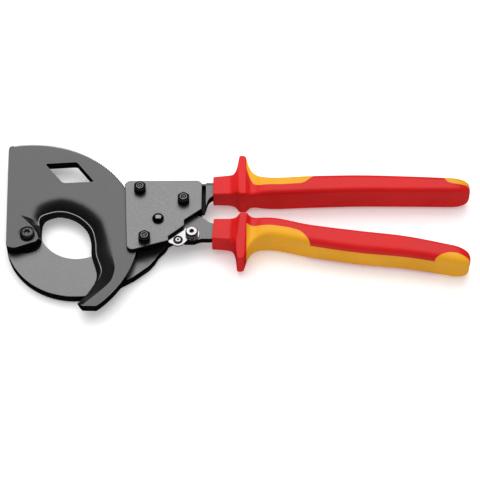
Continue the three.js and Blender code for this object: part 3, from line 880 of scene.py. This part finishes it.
def moving_handle():
    upper, lower = core_sides(LOWER_LINE, CORE_HALF)
    outline = [
        (121.4, -2.9), (128, -2.6), *lower, *reversed(upper), (128, 9.3),
        (124.4, 9.6), *curve([(121.4, 10.7), (118, 13.5), (115.2, 15.5), (112, 16.2)], 6),
        (88, 15.8), *arc(HANDLE_PIVOT, 5.5, 95, 265, 30), (94, 2.6),
        *rounded([(100.6, -0.4), (103.2, -3.6), (105.2, -4.8), (111.7, -4.8), (114, -3.6),
                  (116.4, -2.9)], 1, 4, closed=False),
    ]
    holes = [circle(HANDLE_PIVOT, 3.9), circle(LATCH_PIVOT, 2 + FIT)]
    made = plate(outline, HANDLE_BOTTOM, LEVER_TOP, holes, edge=0.3)
    lug_outline = [
        *arc(DRIVE_PAWL_PIN, 2.7, 60, 250, 24), (88, 6), (88, 13), (79.9, 9.9),
    ]
    bore = circle(DRIVE_PAWL_PIN, 1.65)
    lug = plate(lug_outline, HANDLE_BOTTOM + 0.01, 1.8, [bore], edge=0.15)
    combine(made, [lug], "UNION")
    paints = [TANG_FACE, SHADE_BLACK, HIGHLIGHT_STEEL]
    finish_piece(made, "moving_handle", "handle_steel", paints, face_or_wall, sharp_degrees=28)


# ---- latch ----------------------------------------------------------------------------

LATCH_BOTTOM = LEVER_TOP + 0.3
LATCH_TOP = LEVER_TOP + 1.4
UNION_CLEAR = 0.01
RIVET_HOLE_RADIUS = 1.35
PIN_GROOVE_RADIUS = 1.9
PIN_HOLE_RADIUS = 0.75


def off_axis(polygon, centre):
    """How far from this axis the polygon's middle is."""
    x, y, _ = (polygon.center - ORIGIN) / MM
    return math.hypot(x - centre[0], y - centre[1])


def latch():
    arm = [
        (91.6, -4.2), (93.2, -6), (97.2, -8), (104.6, -7.6), (107.4, -4.4), (110, 5.2),
        (105.4, 4.7), (93.4, -2.6),
    ]
    made = plate(rounded(arm, 0.7, 3), LATCH_BOTTOM, LATCH_TOP, edge=0.2)
    ends = [
        plate(circle(centre, radius), LATCH_BOTTOM + UNION_CLEAR, LATCH_TOP - UNION_CLEAR, edge=0.2)
        for centre, radius in ((LATCH_PIVOT, 5.1), (LATCH_SPRING_PIN, 4.7))
    ]
    combine(made, ends, "UNION")
    bores = [
        plate(circle(centre, radius + FIT), 0, 12)
        for centre, radius in ((LATCH_PIVOT, 2), (LATCH_SPRING_PIN, 1.4))
    ]
    combine(made, bores)
    finish_piece(made, "latch_lever", "bright_steel", [CHROME], sharp_degrees=28)
    rivet = turned(LATCH_PIVOT, [
        (0, HANDLE_BOTTOM + 0.1), (2, HANDLE_BOTTOM + 0.1), (2, LEVER_TOP + 1.5),
        (4.2, LEVER_TOP + 1.5), (4.2, LEVER_TOP + 4.4), (3.5, LEVER_TOP + 5.1),
        (1.4, LEVER_TOP + 5.1), (1.2, LEVER_TOP + 3.2), (0, LEVER_TOP + 3.2),
    ], 0.3)

    # Painted shade: the rivet's upright sides get darker chrome, and the inside of its hole the
    # shaded chrome.
    def side_or_hole(polygon):
        above_lever = polygon.center.z > ORIGIN.z + LEVER_TOP * MM
        if above_lever and off_axis(polygon, LATCH_PIVOT) < RIVET_HOLE_RADIUS:
            return 2
        return int(abs(polygon.normal.z) < UPRIGHT_LEAN)

    paints = [CHROME, SHADED_CHROME_SIDE, DARK_CHROME]
    finish_piece(rivet, "latch_rivet", "bright_steel", paints, side_or_hole, sharp_degrees=40)
    pin = turned(LATCH_SPRING_PIN, [
        (0, 3.6), (2.2, 3.6), (2.2, 4.9), (1.4, 4.9), (1.4, LEVER_TOP + 1.45),
        (3.3, LEVER_TOP + 1.45), (3.2, LEVER_TOP + 1.8), (2.9, LEVER_TOP + 1.85),
        (2.1, LEVER_TOP + 1.5), (1.8, LEVER_TOP + 1.95), (0.8, LEVER_TOP + 2.1),
        (0.6, LEVER_TOP + 1.6), (0, LEVER_TOP + 1.6),
    ], 0.1)

    def groove_or_hole(polygon):
        radius = off_axis(polygon, LATCH_SPRING_PIN)
        return int(radius > PIN_GROOVE_RADIUS or radius < PIN_HOLE_RADIUS)

    paints = [CHROME, DARK_CHROME]
    finish_piece(pin, "latch_spring_pin", "bright_steel", paints, groove_or_hole, sharp_degrees=40)


# ---- grips ----------------------------------------------------------------------------

GRIP_CENTRE_Z = 3.2
GRIP_HALF_HEIGHT = 10.8
INLAY_DEPTH = 1.8
GRIP_START = 124

# Along a grip: x, how far the guard stands out, half the height inside and behind it.
GUARD = (
    (123, 0, 6.9), (130, 0.2, 7), (135.4, 0.8, 7.2), (136.2, 1.1, 7.6), (138, 2.4, 8.7),
    (139.6, 5.2, 9.8), (140.7, 9.5, 10.8), (141.4, 14.5, 11.3), (141.9, 16.8, 11.5),
    (145.9, 16.8, 11.5), (146.5, 15, 11.1), (147.6, 10.5, 9.8), (149.5, 6.4, 8.7),
    (152.5, 3.2, 8.8), (156, 1.2, 9.8), (161, 0.2, 10.6), (166, 0, 10.8),
)
GUARD_END = GUARD[-1][0]
GUARD_TAPER = 0.2
GUARD_INNER_SHARE = 0.135

# Corner radii of the collar, and of the grip's inner and outer sides behind it. These two
# lose a share of how far the guard stands out, up to a limit.
COLLAR_CORNER = 1.3
INNER_CORNER = 3.4
OUTER_CORNER = 5
INNER_CORNER_LOSS = 0.15
OUTER_CORNER_LOSS = 0.35
LOSS_LIMIT = 10
COLLAR_ENDS = (135.6, 138.5)
# A corner takes up at most this share of a side.
CORNER_LIMIT = 0.45
FLAT_STEPS = 6
CORNER_STEPS = 8

# The rounded front end, as steps back from it and the size of the section there.
FRONT_END = ((0, 0.94), (0.2, 0.98))
# Spacing of the grip's sections: in the collar, round the guard and along the rest.
LIP = 0.7
COLLAR_SPACING = 0.9
COLLAR_SECTIONS = 12
GUARD_FROM = 136
GUARD_SPACING = 0.45
GUARD_SECTIONS = 52
LEAST_SPACING = 0.3
SHAFT_FROM = 161
SHAFT_SPACING = 2.1
TIP_LENGTH = 11
TIP_STEPS = 14
TIP_DEGREES = 88


def grip_section(line, x, depth):
    """Corner points of a grip's section as (outward, up), and the corner radii."""
    half = along(line, 2)(x) / 2
    guard = along(GUARD, 1)(x) if x < GUARD_END else 0
    half_height = along(GUARD, 2)(x) if x < GUARD_END else GRIP_HALF_HEIGHT
    outer_half = half_height - guard * GUARD_TAPER
    inner = half + guard * GUARD_INNER_SHARE - depth
    outer = half + guard - depth
    corners = [
        (-inner, -half_height + depth), (outer, -outer_half + depth),
        (outer, outer_half - depth), (-inner, half_height - depth),
    ]
    past_collar = ease(x, COLLAR_ENDS)
    loss = min(guard, LOSS_LIMIT)
    tight, wide = (
        COLLAR_CORNER + past_collar * (corner - loss * share - COLLAR_CORNER)
        for corner, share in ((INNER_CORNER, INNER_CORNER_LOSS), (OUTER_CORNER, OUTER_CORNER_LOSS))
    )
    return corners, [tight, wide, wide, tight]


def grip_ring(line, outward, lean, x, depth, shrink=1):
    """One section of a grip. A lean makes it stand askew, forward on its outer side."""
    centre = along(line, 1)(x)
    corners, radii = grip_section(line, x, depth)
    section = []
    for i, corner in enumerate(corners):
        here = Vector(corner)
        ends = []
        for neighbour in (corners[i - 1], corners[(i + 1) % 4]):
            side = Vector(neighbour) - here
            ends.append(here + side.normalized() * min(radii[i], side.length * CORNER_LIMIT))
        for step in range(CORNER_STEPS + 1):
            t = step / CORNER_STEPS
            section.append(ends[0] * (1 - t) ** 2 + here * 2 * t * (1 - t) + ends[1] * t * t)
        following = Vector(corners[(i + 1) % 4])
        back = here - following
        reach = min(radii[(i + 1) % 4], back.length * CORNER_LIMIT)
        target = following + back.normalized() * reach
        for step in range(1, FLAT_STEPS):
            section.append(ends[1].lerp(target, step / FLAT_STEPS))
    return [
        (x - lean * point.x, centre + outward * point.x * shrink,
         GRIP_CENTRE_Z + point.y * shrink)
        for point in section
    ]


def grip_body(line, outward, lean, end, depth):
    """A grip's outer form or, at a depth, the form inside it that the inlay lies on."""
    start = GRIP_START + depth
    stations = [start + LIP + i * COLLAR_SPACING for i in range(COLLAR_SECTIONS)]
    around_guard = [GUARD_FROM + i * GUARD_SPACING for i in range(GUARD_SECTIONS)]
    stations += [x for x in around_guard if x > stations[-1] + LEAST_SPACING]
    shaft_sections = int((end - TIP_LENGTH - SHAFT_FROM) / SHAFT_SPACING) + 1
    stations += [SHAFT_FROM + i * SHAFT_SPACING for i in range(shaft_sections)]
    rings = [grip_ring(line, outward, lean, start + back, depth, size) for back, size in FRONT_END]
    rings += [grip_ring(line, outward, lean, x, depth) for x in stations]
    length = end - depth - stations[-1]
    for i in range(1, TIP_STEPS + 1):
        angle = math.radians(TIP_DEGREES * i / TIP_STEPS)
        x = stations[-1] + length * math.sin(angle)
        rings.append(grip_ring(line, outward, lean, x, depth, math.cos(angle) ** 0.5))
    return skin(rings)


# Boundaries of the yellow zones on the two faces, seen from above. They run on well past
# the grip's outer side and its end.
UPPER_FRONT = [
    (146.3, 90), (146.5, 50), (148.6, 43), (151.2, 37.4), (155, 35.8), (169, 35.6),
    (183.5, 36.6), (186.5, 38), (192, 43), (198, 50), (198, 90),
]
UPPER_TAIL = [(279.6, 90), (280, 41.5), (282.2, 37.6), (286, 36.3), (310, 34.6), (310, 90)]
LOWER_FRONT = [
    (146.3, -60), (146.5, 4.4), (151, 2.9), (163, 2.4), (175, 0.3), (181.5, -2),
    (184.2, -4.3), (187.3, -8.6), (190, -14), (191.5, -60),
]
LOWER_TAIL = [
    (268.8, -60), (269.6, -25), (271.6, -22.8), (275, -21), (279.5, -19.4), (285.5, -19.8),
    (293, -23), (310, -32), (310, -60),
]
# The yellow band on the outer side: its ends, its reach above and below the grip's middle,
# and how far from the middle line it starts, as a share of the width.
SIDE_FROM = 176
SIDE_TO = 290
SIDE_ABOVE = 6
SIDE_BELOW = 8.8
SIDE_SHARE = 0.14


def zone(front, tail, line, outward):
    """The space that the yellow inlay fills, before the grip's own shape limits it."""
    far = front[0][1]
    inner = [
        (x, along(line, 1)(x) + outward * along(line, 2)(x) * SIDE_SHARE)
        for x in (SIDE_FROM, SIDE_TO)
    ]
    side_outline = [*inner, (SIDE_TO, far), (SIDE_FROM, far)]
    made = plate(side_outline, GRIP_CENTRE_Z - SIDE_BELOW, GRIP_CENTRE_Z + SIDE_ABOVE)
    ends = [plate(rounded(outline, 1.2, 4), -30, 40) for outline in (front, tail)]
    return combine(made, ends, "UNION")


def copy_of(source):
    made = source.copy()
    made.data = source.data.copy()
    bpy.context.scene.collection.objects.link(made)
    return made


def core_slot(line, top):
    upper, lower = core_sides(line, CORE_HALF + FIT)
    outline = [(100, upper[0][1]), *upper, *reversed(lower), (100, lower[0][1])]
    return plate(outline, HANDLE_BOTTOM - FIT, top + FIT)


def grip(name, line, outward, lean, end, front, tail, core_top):
    """A red grip body and the yellow inlay that fills the pocket cut in it."""
    whole = grip_body(line, outward, lean, end, 0)
    inner = grip_body(line, outward, lean, end, INLAY_DEPTH)
    pocket = combine(zone(front, tail, line, outward), [inner])
    inlay = combine(copy_of(whole), [copy_of(pocket)], "INTERSECT")
    combine(whole, [pocket, core_slot(line, core_top)])
    finish_piece(whole, f"{name}_grip", "red_plastic", [RED], sharp_degrees=35, weighted=False)
    finish_piece(inlay, f"{name}_grip_inlay", "yellow_plastic", [YELLOW], sharp_degrees=35,
                 weighted=False)


# ---- studio ---------------------------------------------------------------------------

VIEW_TARGET = Vector((0.001557, -0.01279, 0.0134))
VIEW_DISTANCE = 1.372
VIEW_ELEVATION = math.radians(56)
LENS_MM = 154.2
SENSOR_MM = 36
SKY_STRENGTH = 0.5
FLOOR_REACH = 6


def look_at(item, target):
    item.rotation_mode = "QUATERNION"
    item.rotation_quaternion = (target - item.location).to_track_quat("-Z", "Y")


def soft_light(name, location, size, power):
    """A rectangular area light that faces the part."""
    data = bpy.data.lights.new(name, "AREA")
    data.shape = "RECTANGLE"
    data.size, data.size_y = size
    data.energy = power
    made = bpy.data.objects.new(name, data)
    bpy.context.scene.collection.objects.link(made)
    made.location = location
    look_at(made, Vector())
    return made


def add_camera():
    camera = bpy.data.objects.new("camera", bpy.data.cameras.new("camera"))
    bpy.context.scene.collection.objects.link(camera)
    camera.data.sensor_width = SENSOR_MM
    camera.data.lens = LENS_MM
    back = Vector((0, -math.cos(VIEW_ELEVATION), math.sin(VIEW_ELEVATION)))
    camera.location = VIEW_TARGET + back * VIEW_DISTANCE
    look_at(camera, VIEW_TARGET)
    bpy.context.scene.camera = camera


def add_light():
    """A softbox that the steel faces mirror, and a fill and a sky that they don't."""
    soft_light("overhead_softbox", (0, 0.84, 1.24), (1.5, 1.3), 8.4)
    fill = soft_light("ceiling_fill", (-0.3, 0.7, 2.1), (3, 3), 35)
    fill.visible_glossy = False
    world = bpy.data.worlds.new("studio")
    world.use_nodes = True
    background = world.node_tree.nodes["Background"]
    background.inputs["Color"].default_value = (1, 1, 1, 1)
    background.inputs["Strength"].default_value = SKY_STRENGTH
    bpy.context.scene.world = world
    world.cycles_visibility.glossy = False
    bpy.context.scene.view_settings.view_transform = "Standard"


def add_floor():
    mesh = bpy.data.meshes.new("floor")
    corners = [(-1, -1), (1, -1), (1, 1), (-1, 1)]
    verts = [(x * FLOOR_REACH, y * FLOOR_REACH, 0) for x, y in corners]
    mesh.from_pydata(verts, [], [(0, 1, 2, 3)])
    floor = bpy.data.objects.new("floor", mesh)
    bpy.context.scene.collection.objects.link(floor)
    mesh.materials.append(PAPER)
    floor.visible_glossy = False


# ---- assembly -------------------------------------------------------------------------

toothed_blade()
fixed_blade()
covers()
studs_and_nuts()
handle_pivot_pin()
blade_screw()
fixed_handle()
moving_handle()
latch()
grip("fixed", UPPER_LINE, 1, 0, 297.9, UPPER_FRONT, UPPER_TAIL, FIXED_HANDLE_TOP)
grip("moving", LOWER_LINE, -1, 0.065, 294.5, LOWER_FRONT, LOWER_TAIL, LEVER_TOP)

for cad_node in frame["nodes"].values():
    if not cad_node.hide_render:
        cad_node.data.materials.clear()
        cad_node.data.materials.append(INNER_STEEL)

add_camera()
add_light()
add_floor()
